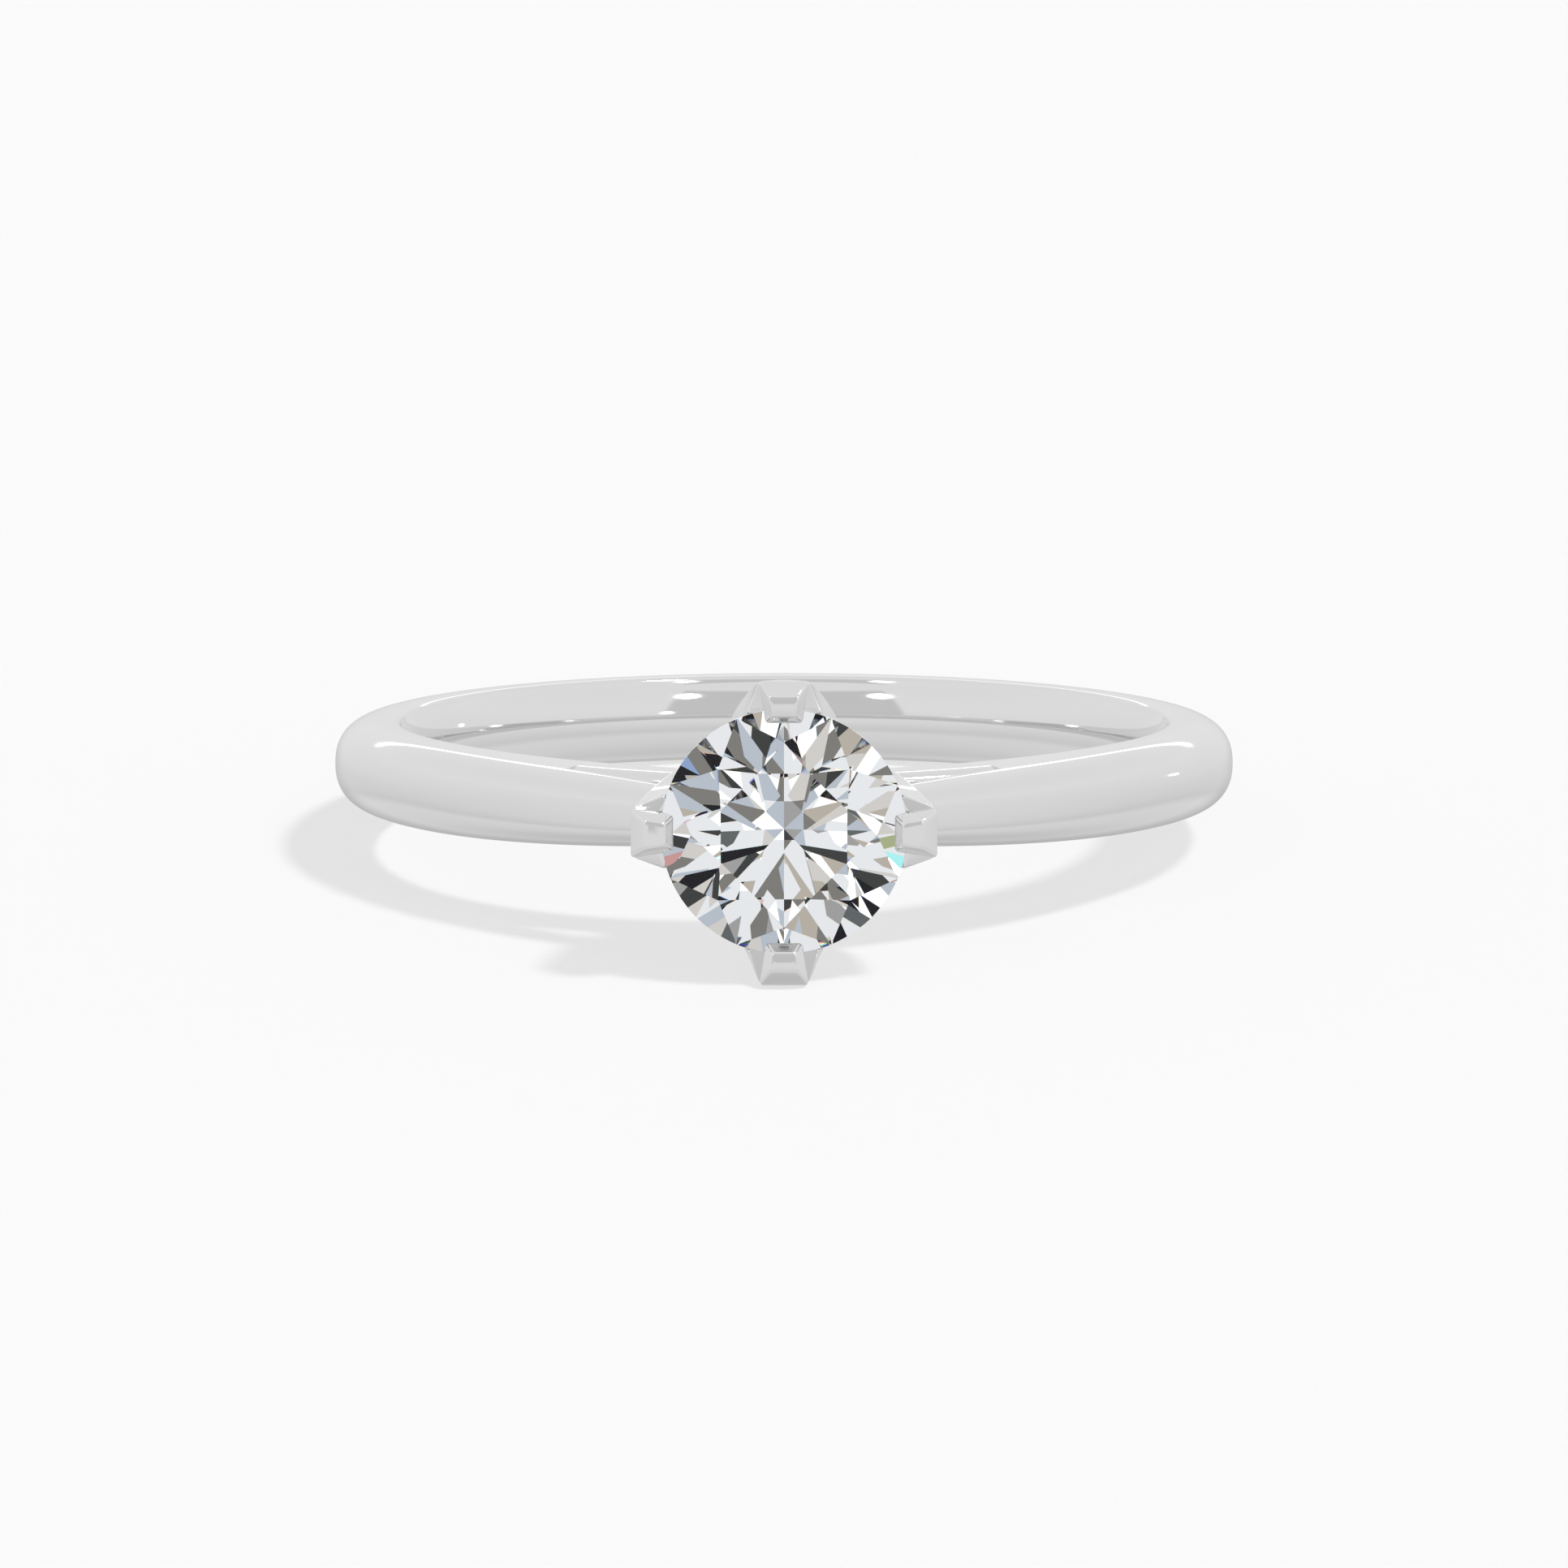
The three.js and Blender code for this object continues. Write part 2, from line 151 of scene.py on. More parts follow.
mounts = {mount["name"]: mount for mount in frame["record"]["mounts"]}
hole = mounts["finger_hole"]
lean = math.atan2(hole["axis"][1], hole["axis"][2])
RING = Matrix.Translation(hole["pos_m"]) @ Matrix.Rotation(-lean, 4, "X")


def mix(a, b, share):
    return a + (b - a) * share


def quarter_turn(steps=ROUND_STEPS):
    """Angles up to a right angle, without 0."""
    return [math.pi / 2 * i / steps for i in range(1, steps + 1)]


def bend(a, b, c, steps):
    """Points along a quadratic curve that leaves a towards b and reaches c from b."""
    a, b, c = (np.array(p) for p in (a, b, c))
    shares = [i / steps for i in range(steps + 1)]
    return [tuple((1 - t) ** 2 * a + 2 * t * (1 - t) * b + t**2 * c) for t in shares]


# Meshes


def round_finger(angle, radius, z):
    turn = math.radians(angle)
    return (radius * math.sin(turn), -radius * math.cos(turn), z)


class Skin:
    """A mesh put together from grids and caps, in the ring's frame, then welded and closed."""

    def __init__(self):
        self.bm = bmesh.new()

    def grid(self, rows):
        """Faces between rows of points, all with the same number of points."""
        made = [[self.bm.verts.new(p) for p in row] for row in rows]
        for a, b in zip(made, made[1:]):
            for i in range(len(a) - 1):
                self.bm.faces.new((a[i], a[i + 1], b[i + 1], b[i]))

    def face(self, points):
        self.bm.faces.new([self.bm.verts.new(p) for p in points])

    def piece(self, name, nodes, materials, smooth_angle=SMOOTH_ANGLE):
        bm = self.bm
        bmesh.ops.remove_doubles(bm, verts=bm.verts, dist=WELD)
        bmesh.ops.dissolve_degenerate(bm, edges=bm.edges, dist=SLIVER)
        bmesh.ops.holes_fill(bm, edges=bm.edges, sides=0)
        bmesh.ops.recalc_face_normals(bm, faces=bm.faces)
        bmesh.ops.transform(bm, matrix=RING @ Matrix.Scale(MM, 4), verts=bm.verts)
        mesh = bpy.data.meshes.new(name)
        bm.to_mesh(mesh)
        bm.free()
        if smooth_angle:
            mesh.polygons.foreach_set("use_smooth", [True] * len(mesh.polygons))
            mesh.set_sharp_from_angle(angle=math.radians(smooth_angle))
        for material in materials:
            mesh.materials.append(material)
        made = bpy.data.objects.new(name, mesh)
        bpy.context.scene.collection.objects.link(made)
        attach(made, "root")
        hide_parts(*nodes)
        made.visible_diffuse = False  # the tent's light reaches the table all round the ring
        return made


# Band pieces


def side_at(share, rim_width, top_width, dome):
    """Half the section's width at a share of its thickness."""
    over = max(0.0, (share - SIDE_FLAT) / (1 - SIDE_FLAT))
    return mix(rim_width, top_width, share) * (1 - over**dome) ** (1 / dome)


def dome_row(thickness, rim_width, top_width, dome, start, steps=40):
    """The domed outside as (radius, z), from +z to -z, starting at a share of the thickness."""
    over = max(0.0, (start - SIDE_FLAT) / (1 - SIDE_FLAT))
    first = math.asin(over ** (dome / 2))
    row = []
    for i in range(steps + 1):
        turn = mix(first, math.pi - first, i / steps)
        across = math.copysign(abs(math.cos(turn)) ** (2 / dome), math.cos(turn))
        share = SIDE_FLAT + (1 - SIDE_FLAT) * math.sin(turn) ** (2 / dome)
        row.append((RIM_RADIUS + thickness * share, mix(rim_width, top_width, share) * across))
    return row


def rim_row(thickness, rim_width, top_width, dome, start, steps=10):
    """The side from where the dome starts, down and round the rim to the inner face."""
    row = []
    for i in range(steps + 1):
        share = mix(start, RIM_ROUND / thickness, i / steps)
        row.append((RIM_RADIUS + thickness * share, side_at(share, rim_width, top_width, dome)))
    inner = 1 - RIM_ROUND / rim_width
    low = RIM_RADIUS - COMFORT * (1 - inner**2)
    width = row[-1][1]
    for turn in quarter_turn():
        row.append((row[steps][0] - (row[steps][0] - low) * math.sin(turn),
                    width - (width - rim_width * inner) * (1 - math.cos(turn))))
    return row


def inner_row(rim_width, steps=16):
    """The finger's face, slightly domed, from +z to -z."""
    edge = 1 - RIM_ROUND / rim_width
    row = []
    for i in range(steps + 1):
        across = mix(edge, -edge, i / steps)
        row.append((RIM_RADIUS - COMFORT * (1 - across**2), rim_width * across))
    return row


def mirrored(row):
    return [(radius, -z) for radius, z in row]


def placed(angle, row):
    return [round_finger(angle, radius, z) for radius, z in row]


def band_grids(skin, angles, section_at, start_at):
    """The three strips of a band piece along its angles: dome, sides with rims, and inner face."""
    sections = [(angle, section_at(angle), start_at(angle)) for angle in angles]
    skin.grid([placed(a, dome_row(*s, start)) for a, s, start in sections])
    skin.grid([placed(a, rim_row(*s, start)) for a, s, start in sections])
    skin.grid([placed(a, mirrored(rim_row(*s, start))) for a, s, start in sections])
    skin.grid([placed(a, inner_row(s[1])) for a, s, _ in sections])


def angles_between(first, last, step=1.0):
    count = max(1, round(abs(last - first) / step))
    return [mix(first, last, i / count) for i in range(count + 1)]


def band_section(angle):
    return BAND_THICKNESS, BAND_HALF_WIDTH, BAND_HALF_WIDTH, BAND_DOME


def shoulder_section(angle):
    way = max(0.0, (RISE_START - angle) / (RISE_START - RISE_END))
    ease = way**NARROWING_POWER
    rim_width = BAND_HALF_WIDTH - RIM_NARROWING * ease
    return (BAND_THICKNESS + RISE * way**2, rim_width, rim_width - TOP_NARROWING * way**2,
            mix(BAND_DOME, SHOULDER_DOME, ease))


def split_radius(angle):
    """The underside of a shoulder where it stands off the bridge."""
    way = max(0.0, (BRIDGE_END - angle) / (BRIDGE_END - RISE_END))
    return RIM_RADIUS + BRIDGE_THICKNESS + SPLIT_GAP + SPLIT_RISE * way**SPLIT_POWER


def split_share(angle):
    return (split_radius(angle) - RIM_RADIUS) / shoulder_section(angle)[0]


def shank(metal):
    skin = Skin()
    band_grids(skin, angles_between(RISE_START, 360 - RISE_START), band_section,
               lambda angle: split_share(RISE_START))
    skin.piece("shank_polished", ["shank"], [metal])


def head_stop(index):
    """The angle at which one lengthwise line of a shoulder has sunk into the head."""
    near, far = ARM_SEARCH
    for _ in range(30):  # halvings
        angle = (near + far) / 2
        x, y, z = arm_outline(angle)[index]
        if math.hypot(x, z) > petal_back(-y) - JOIN:
            near = angle
        else:
            far = angle
    return near


def arm_outline(angle):
    """A shoulder's section beside the bridge: the dome, then the rounded flat underside."""
    section = shoulder_section(angle)
    start = split_share(angle)
    lift = ARM_ROUND / section[0]
    dome = dome_row(*section, start + lift)
    base = split_radius(angle)
    edge = dome[0][1]
    corner = [(base + ARM_ROUND * (1 - math.sin(turn)), edge - ARM_ROUND * (1 - math.cos(turn)))
              for turn in quarter_turn()[:-1]]
    under = [(base, mix(edge - ARM_ROUND, -edge + ARM_ROUND, i / UNDER_STEPS))
             for i in range(UNDER_STEPS + 1)]
    loop = dome + mirrored(corner) + [(r, -z) for r, z in under] + corner[::-1]
    return placed(angle, loop + loop[:1])


def shoulder(name, node, side, metal):
    """One cathedral arm, full-depth down to the bridge's end and free of it from there on."""
    skin = Skin()
    angles = angles_between(RISE_START, BRIDGE_END, step=0.5)
    band_grids(skin, angles, shoulder_section,
               lambda angle: split_share(angle) + ARM_ROUND / shoulder_section(angle)[0])
    stops = [head_stop(i) for i in range(len(arm_outline(BRIDGE_END)))]
    skin.grid([[arm_outline(mix(BRIDGE_END, stop, k / ARM_STEPS))[i]
                for i, stop in enumerate(stops)]
               for k in range(ARM_STEPS + 1)])
    if side < 0:
        bmesh.ops.scale(skin.bm, vec=(-1, 1, 1), verts=skin.bm.verts)
    skin.piece(name, [node], [metal])


def bridge(metal):
    skin = Skin()

    def section(angle):
        rim_width = shoulder_section(abs(angle))[1]
        return BRIDGE_THICKNESS, rim_width, rim_width - BRIDGE_TAPER, BRIDGE_DOME

    band_grids(skin, angles_between(-BRIDGE_END, BRIDGE_END), section,
               lambda angle: BRIDGE_DOME_START)
    skin.piece("bridge_polished", ["bridge"], [metal])


# Head pieces. A point is (sideways, height from the finger axis, away from the head's axis),
# turned about the head's axis by the piece's azimuth: 0 is north, 90 west.


def on_head(azimuth, sideways, height, outward):
    turn = math.radians(azimuth)
    x = -(sideways * math.cos(turn) + outward * math.sin(turn))
    return (x, -height, outward * math.cos(turn) - sideways * math.sin(turn))


def petal_back(height):
    """Radius of the tulip's outside."""
    drop = max(0.0, BELLY_TOP - height)
    return HEAD_RADIUS - BELLY_SLOPE * drop - BELLY_CURVE * drop**3


def petal_front(height):
    """Radius of its inside, which stands off the stone."""
    bezel = STONE_RADIUS
    girdle_foot = GIRDLE_HEIGHT - GIRDLE_THICKNESS / 2
    if height < girdle_foot:
        bezel -= (girdle_foot - height) / math.tan(math.radians(PAVILION_ANGLE))
    return max(petal_back(height) - WALL, bezel + STAND_OFF)


def petal_half_width(height):
    """Half the width of a petal's back, which spreads on the way down to its neighbours."""
    drop = max(0.0, SPREAD_TOP - height)
    return CLAW_HALF_WIDTH + SPREAD * drop + FLARE * drop**2


def ledge_share(height):
    """How much of the ledges' tilt a petal's section has."""
    return min(1.0, max(0.0, (height - TILT_BASE) / (LEDGE - LEDGE_ROUND - TILT_BASE)))


def rounded_loop(corners, radius, most=0.45, steps=5):
    """An outline of (sideways, outward) points whose corners are rounded by a radius, or by
    the most that their sides allow, as a share of the shorter one."""
    loop = []
    count = len(corners)
    for i, corner in enumerate(corners):
        here = np.array(corner)
        before = np.array(corners[i - 1]) - here
        after = np.array(corners[(i + 1) % count]) - here
        reach = min(radius, most * np.linalg.norm(before), most * np.linalg.norm(after))
        loop += bend(here + before / np.linalg.norm(before) * reach, here,
                     here + after / np.linalg.norm(after) * reach, steps)
    return loop


def petal_section(height, inset=0.0):
    """The petal cut across: curved back and front, slanting flanks, rounded edges."""
    back, front = petal_back(height), petal_front(height)
    width = petal_half_width(height)
    flank = FLANK * max(0.0, 1 - (SPREAD_TOP - height) / FLANK_DEPTH) - inset
    diagonal = math.sqrt(0.5)
    wide = min(width, back * diagonal - SEAM)
    narrow = min(width + flank, front * diagonal - SEAM)
    return four_cornered(narrow, math.sqrt(front**2 - narrow**2),
                         wide, math.sqrt(back**2 - wide**2), CLAW_ROUND, bowed)


def tab_section(tip, tip_width, back, back_width, rounding):
    """The tab cut across: a trapezoid, with as many points as a petal's section."""
    return four_cornered(tip_width, tip, back_width, back, rounding, straight)


def four_cornered(front_width, front, back_width, back, rounding, joined):
    """An outline with rounded corners, whose back and front are drawn by the last argument."""
    loop = rounded_loop([(-front_width, front), (-back_width, back),
                         (back_width, back), (front_width, front)], rounding)
    per = len(loop) // 4
    left_in, left_out, right_out, right_in = (loop[i * per:(i + 1) * per] for i in range(4))
    return (left_in + left_out + joined(left_out[-1], right_out[0])
            + right_out + right_in + joined(right_in[-1], left_in[0]))


def bowed(a, b):
    """Points between two ends, on the circle round the head's axis that the first lies on."""
    radius = math.hypot(*a)
    across = [mix(a[0], b[0], i / PETAL_ARC) for i in range(1, PETAL_ARC)]
    return [(x, math.sqrt(radius**2 - x**2)) for x in across]


def straight(a, b):
    return [tuple(mix(np.array(a), np.array(b), i / PETAL_ARC)) for i in range(1, PETAL_ARC)]


def claw(side, azimuth, metal):
    """A petal with its ledges and tab, as rows of (height, share of the tilt, outline)."""
    rows = []
    for i in range(PETAL_LEVELS + 1):
        height = mix(PETAL_BASE, LEDGE - LEDGE_ROUND, i / PETAL_LEVELS)
        rows.append((height, ledge_share(height), petal_section(height)))
    for turn in quarter_turn():
        height = LEDGE - LEDGE_ROUND * (1 - math.sin(turn))
        rows.append((height, 1, petal_section(height, LEDGE_ROUND * (1 - math.cos(turn)))))
    tab = (TAB_TIP_RADIUS, TAB_TIP_HALF_WIDTH, HEAD_RADIUS, CLAW_HALF_WIDTH)
    root_share = (TAB_ROOT_RADIUS - TAB_TIP_RADIUS) / (HEAD_RADIUS - TAB_TIP_RADIUS)
    root_width = mix(TAB_TIP_HALF_WIDTH, CLAW_HALF_WIDTH, root_share)
    root = tab_section(TAB_ROOT_RADIUS, root_width, HEAD_RADIUS, CLAW_HALF_WIDTH, CLAW_ROUND)
    rows.append((LEDGE + LEDGE_STEP, 1, root))
    rows.append((TAB_ROOT_TOP, TAB_ROOT_TILT, root))
    rows.append((TAB_TIP_UNDER, 0, tab_section(*tab, CLAW_ROUND)))
    for share, rise in bend(*TAB_LOW_EDGE, ROUND_STEPS) + bend(*TAB_HIGH_EDGE, ROUND_STEPS):
        size = [mix(a, b, share) for a, b in zip(tab, TAB_FLAT)]
        height = mix(TAB_BEVEL_HEIGHT, TAB_TOP, rise)
        rows.append((height, 0, tab_section(*size, mix(CLAW_ROUND, TAB_ROUND, min(1, share)))))
    skin = Skin()
    skin.grid([[on_head(azimuth, x, height + tilt * LEDGE_TILT * max(0, out - STONE_RADIUS), out)
                for x, out in loop + loop[:1]]
               for height, tilt, loop in rows])
    skin.piece(f"claw_{side}_polished", [f"claw_{side}"], [metal])


def azimuths(count):
    return [360 * i / count for i in range(count + 1)]


def collet(metal):
    """The ring that carries the petals, cut below like a saddle to sit on the bridge."""

    def down(azimuth):
        """Its outline, as (radius, height), from the middle of its top to its middle below."""

        def saddle(radius):
            x = radius * math.sin(math.radians(azimuth))
            return math.sqrt((RIM_RADIUS + BRIDGE_THICKNESS + CONTACT) ** 2 - x**2)

        top_radius = petal_back(PETAL_BASE) - COLLET_INSET
        side_top = COLLET_TOP - COLLET_ROUND
        side_foot = saddle(COLLET_FOOT_RADIUS) + COLLET_FOOT_RISE
        under_radius = COLLET_FOOT_RADIUS - COLLET_FOOT_ROUND
        side = [(mix(top_radius, COLLET_FOOT_RADIUS, share**COLLET_SWEEP),
                 mix(side_top, side_foot, share)) for share in COLLET_LEVELS]
        return [(AXIS_RADIUS, COLLET_TOP),
                (top_radius - COLLET_ROUND, COLLET_TOP),
                (top_radius - COLLET_EDGE[0], COLLET_TOP - COLLET_EDGE[1]),
                (top_radius, side_top),
                *side,
                (under_radius, saddle(under_radius)),
                (AXIS_RADIUS, saddle(AXIS_RADIUS))]

    columns = [[on_head(azimuth, 0, height, radius) for radius, height in down(azimuth)]
               for azimuth in azimuths(COLLET_AROUND)]
    skin = Skin()
    skin.grid(list(zip(*columns)))
    skin.piece("base_collet_polished", ["base_collet"], [metal])


def rivet(metal):
    """The domed head of the peg, over the collet. Its shank is out of sight in the bridge."""
    profile = [(RIVET_AXIS_RADIUS, RIVET_HEIGHT)]
    for turn in quarter_turn(RIVET_STEPS):
        profile.append((RIVET_RADIUS * math.sin(turn) ** RIVET_SQUARENESS,
                        RIVET_HEIGHT * math.cos(turn)))
    skin = Skin()
    skin.grid([[on_head(azimuth, 0, PETAL_BASE + height, radius)
                for azimuth in azimuths(RIVET_AROUND)] for radius, height in profile])
    skin.piece("head_peg_polished", ["head_peg"], [metal])


# Diamond


def brilliant(polished, ground):
    """A round brilliant whose facets are single flat faces and whose girdle is round."""
    step = math.pi / STONE_FOLDS
    crown = math.tan(math.radians(CROWN_ANGLE))
    pavilion = math.tan(math.radians(PAVILION_ANGLE))
    table = STONE_RADIUS * TABLE_SHARE
    rim = GIRDLE_THICKNESS / 2
    table_height = rim + (STONE_RADIUS - table) * crown
    culet = -rim - STONE_RADIUS * pavilion
    star_radius = mix(table * math.cos(step), STONE_RADIUS, STAR_SHARE)
    star_height = table_height - (star_radius * math.cos(step) - table) * crown
    low_radius = STONE_RADIUS * (1 - LOWER_HALF_SHARE)
    low_height = culet + low_radius * math.cos(step) * pavilion

    def corner(turn, radius, height):
        return on_head(math.degrees(turn), 0, GIRDLE_HEIGHT + height, radius)

    def edge_height(away, radius, height, level):
        """Height of the girdle's edge, in the half facet's plane, away from its star."""
        slope = (level - height) / (STONE_RADIUS - radius)
        depth = math.cos(away) + math.tan(step / 2) * math.sin(away)
        return level + slope * STONE_RADIUS * (depth - 1)

    def edge(index, radius, height, level):
        turn = step * index / ARC_STEPS
        away = abs((index + ARC_STEPS) % (2 * ARC_STEPS) - ARC_STEPS) * step / ARC_STEPS
        return corner(turn, STONE_RADIUS, edge_height(away, radius, height, level))

    around = 2 * STONE_FOLDS * ARC_STEPS
    upper = [edge(i, star_radius, star_height, rim) for i in range(around)]
    lower = [edge(i, low_radius, low_height, -rim) for i in range(around)]
    stars = [corner(2 * step * k, star_radius, star_height) for k in range(STONE_FOLDS)]
    lows = [corner(2 * step * k, low_radius, low_height) for k in range(STONE_FOLDS)]
    tables = [corner(2 * step * k + step, table, table_height) for k in range(STONE_FOLDS)]
    point = corner(0, 0, culet)

    def arc(ring, first, last):
        return [ring[i % around] for i in range(first, last + 1)]

    skin = Skin()
    skin.face(tables)
    for k in range(STONE_FOLDS):
        star, main, after = 2 * ARC_STEPS * k, 2 * ARC_STEPS * k + ARC_STEPS, (k + 1) % STONE_FOLDS
        skin.face([tables[k - 1], stars[k], tables[k]])
        skin.face([tables[k], stars[k], upper[main], stars[after]])
        skin.face([stars[k], *arc(upper, star, main)])
        skin.face([stars[after], *arc(upper, main, main + ARC_STEPS)])
        skin.face([lows[k], *arc(lower, star, main)])
        skin.face([lows[after], *arc(lower, main, main + ARC_STEPS)])
        skin.face([point, lows[k], lower[main], lows[after]])
    for i in range(around):
        skin.face([upper[i], lower[i], lower[(i + 1) % around], upper[(i + 1) % around]])
    stone = skin.piece("diamond_brilliant", ["diamond"], [polished, ground],
                       smooth_angle=None)
    axis = RING.to_3x3() @ Vector((0, -1, 0))
    for face in stone.data.polygons:
        face.material_index = 1 if abs(face.normal.dot(axis)) < GIRDLE_FACING else 0


# Nodes


def add(tree, kind, **settings):
    node = tree.nodes.new(kind)
    for key, value in settings.items():
        setattr(node, key, value)
    return node


def ramp(tree, factor, stops, interpolation="LINEAR"):
    """Colours along a factor, given as (place, (red, green, blue))."""
    node = add(tree, "ShaderNodeValToRGB")
    node.color_ramp.interpolation = interpolation
    points = node.color_ramp.elements
    while len(points) < len(stops):
        points.new(1.0)
    for point, (place, colour) in zip(points, stops):
        point.position = place
        point.color = (*colour, 1)
    tree.links.new(factor, node.inputs["Fac"])
    return node.outputs["Color"]


def grey(level):
    return (level, level, level)


def arithmetic(tree, operation, *values):
    """One sum on values that are each a socket or a number."""
    node = add(tree, "ShaderNodeMath", operation=operation)
    for socket, value in zip(node.inputs, values):
        if isinstance(value, (int, float)):
            socket.default_value = value
        else:
            tree.links.new(value, socket)
    return node.outputs["Value"]


def between(tree, value, low, high, blur):
    """1 where a value lies between two limits, 0 outside, with soft ends."""
    share = None
    for start, end in ((low - blur, low + blur), (high + blur, high - blur)):
        node = add(tree, "ShaderNodeMapRange", interpolation_type="SMOOTHSTEP")
        node.inputs["From Min"].default_value = start
        node.inputs["From Max"].default_value = end
        tree.links.new(value, node.inputs["Value"])
        side = node.outputs["Result"]
        share = side if share is None else arithmetic(tree, "MULTIPLY", share, side)
    return share


# Materials


def new_material(name):
    """An empty material, its node tree, and a function that links a surface to its output."""
    material = bpy.data.materials.new(name)
    material.use_nodes = True
    tree = material.node_tree
    tree.nodes.clear()
    output = add(tree, "ShaderNodeOutputMaterial")
    return material, tree, lambda surface: tree.links.new(surface, output.inputs["Surface"])


def noise(tree, place, scale, detail):
    """Fine noise, from 0 to 1, on a position."""
    node = add(tree, "ShaderNodeTexNoise")
    node.inputs["Scale"].default_value = scale
    node.inputs["Detail"].default_value = detail
    tree.links.new(place, node.inputs["Vector"])
    return node.outputs["Fac"]


def ranged(tree, value, limits):
    """A value from 0 to 1 spread between two limits."""
    node = add(tree, "ShaderNodeMapRange")
    node.inputs["To Min"].default_value, node.inputs["To Max"].default_value = limits
    tree.links.new(value, node.inputs["Value"])
    return node.outputs["Result"]


def polished_metal(name, colour, scratches):
    """White gold off the polishing wheel: near-mirror, with faint haze and hairline scratches."""
    material, tree, show = new_material(name)
    shader = add(tree, "ShaderNodeBsdfPrincipled")
    shader.inputs["Metallic"].default_value = 1.0
    place = add(tree, "ShaderNodeTexCoord").outputs["Object"]

    tone = add(tree, "ShaderNodeMix", data_type="RGBA")
    tone.inputs["A"].default_value = (*[HAZE_TONE * level for level in colour], 1)
    tone.inputs["B"].default_value = (*colour, 1)
    tree.links.new(noise(tree, place, HAZE_SCALE, HAZE_DETAIL), tone.inputs["Factor"])
    tree.links.new(tone.outputs["Result"], shader.inputs["Base Color"])

    stretch = add(tree, "ShaderNodeMapping")
    stretch.inputs["Scale"].default_value = (scratches, scratches, SCRATCH_STRETCH * scratches)
    tree.links.new(place, stretch.inputs["Vector"])
    hairlines = noise(tree, stretch.outputs["Vector"], 1, SCRATCH_DETAIL)
    tree.links.new(ranged(tree, hairlines, METAL_ROUGHNESS), shader.inputs["Roughness"])
    show(shader.outputs["BSDF"])
    return material


def sharp(tree, kind, colour, ior=None):
    """A perfectly smooth glossy or refracting surface."""
    surface = add(tree, kind)
    surface.inputs["Color"].default_value = (*colour, 1)
    surface.inputs["Roughness"].default_value = 0.0
    if ior:
        surface.inputs["IOR"].default_value = ior
    return surface.outputs["BSDF"]


def mixed(tree, factor, first, second):
    both = add(tree, "ShaderNodeMixShader")
    tree.links.new(factor, both.inputs["Fac"])
    tree.links.new(first, both.inputs[1])
    tree.links.new(second, both.inputs[2])
    return both.outputs["Shader"]


def added(tree, first, second):
    both = add(tree, "ShaderNodeAddShader")
    tree.links.new(first, both.inputs[0])
    tree.links.new(second, both.inputs[1])
    return both.outputs["Shader"]


def diamond_look():
    """Colourless diamond. Light splits into its colours once, where it enters the stone.
    Inside, it is mirrored wherever it meets a facet too flatly to leave. The polished metal
    sees through the stone, whose fire would only speckle it."""
    material, tree, show = new_material("diamond_polished")
    weak, strong = (1 - FIRE_STRENGTH) / 3, (1 + 2 * FIRE_STRENGTH) / 3
    red, green, blue = (
        sharp(tree, "ShaderNodeBsdfRefraction", colour, DIAMOND_IOR + shift)
        for colour, shift in (((strong, weak, weak), -FIRE), ((weak, strong, weak), 0),
                              ((weak, weak, strong), FIRE)))
    entry = added(tree, added(tree, red, green), blue)
    fresnel = add(tree, "ShaderNodeFresnel")
    fresnel.inputs["IOR"].default_value = DIAMOND_IOR
    share = fresnel.outputs["Fac"]
    outside = mixed(tree, share, entry, sharp(tree, "ShaderNodeBsdfGlossy", grey(GEM_SHINE)))
    inside = mixed(tree, arithmetic(tree, "GREATER_THAN", share, ALL_MIRRORED),
                   sharp(tree, "ShaderNodeBsdfRefraction", grey(1), DIAMOND_IOR),
                   sharp(tree, "ShaderNodeBsdfGlossy", grey(1)))
    side = add(tree, "ShaderNodeNewGeometry")
    stone = mixed(tree, side.outputs["Backfacing"], outside, inside)

    path = add(tree, "ShaderNodeLightPath")
    not_in_stone = arithmetic(tree, "LESS_THAN", path.outputs["Transmission Depth"], 0.5)
    from_metal = arithmetic(tree, "MULTIPLY", not_in_stone, path.outputs["Is Glossy Ray"])
    clear = add(tree, "ShaderNodeBsdfTransparent")
    show(mixed(tree, from_metal, stone, clear.outputs["BSDF"]))
    return material


def girdle_look():
    """The girdle, ground fine but not polished."""
    material, tree, show = new_material("diamond_girdle")
    glass = add(tree, "ShaderNodeBsdfGlass")
    glass.inputs["Color"].default_value = (*GIRDLE_TINT, 1)
    glass.inputs["IOR"].default_value = DIAMOND_IOR
    place = add(tree, "ShaderNodeTexCoord").outputs["Object"]
    grain = noise(tree, place, GIRDLE_GRAIN, GIRDLE_DETAIL)
    tree.links.new(ranged(tree, grain, GIRDLE_ROUGHNESS), glass.inputs["Roughness"])
    show(glass.outputs["BSDF"])
    return material


def table_look():
    """Pale paper."""
    material, tree, show = new_material("table_paper")
    shader = add(tree, "ShaderNodeBsdfPrincipled")
    shader.inputs["Base Color"].default_value = (*grey(PAPER), 1)
    shader.inputs["Roughness"].default_value = PAPER_ROUGHNESS
    shader.inputs["Specular IOR Level"].default_value = 0.0
    show(shader.outputs["BSDF"])
    return material


# Stage


FLOOR_HALF_WIDTH = 800 * MM


def floor():
    """The table. Only the eye and the light see it: metal and stone mirror the tent instead."""
    half = FLOOR_HALF_WIDTH
    mesh = bpy.data.meshes.new("floor")
    mesh.from_pydata([(-half, -half, 0), (half, -half, 0), (half, half, 0), (-half, half, 0)],
                     [], [(0, 1, 2, 3)])
    mesh.materials.append(table_look())
    made = bpy.data.objects.new("floor", mesh)
    bpy.context.scene.collection.objects.link(made)
    made.visible_glossy = False
    made.visible_transmission = False


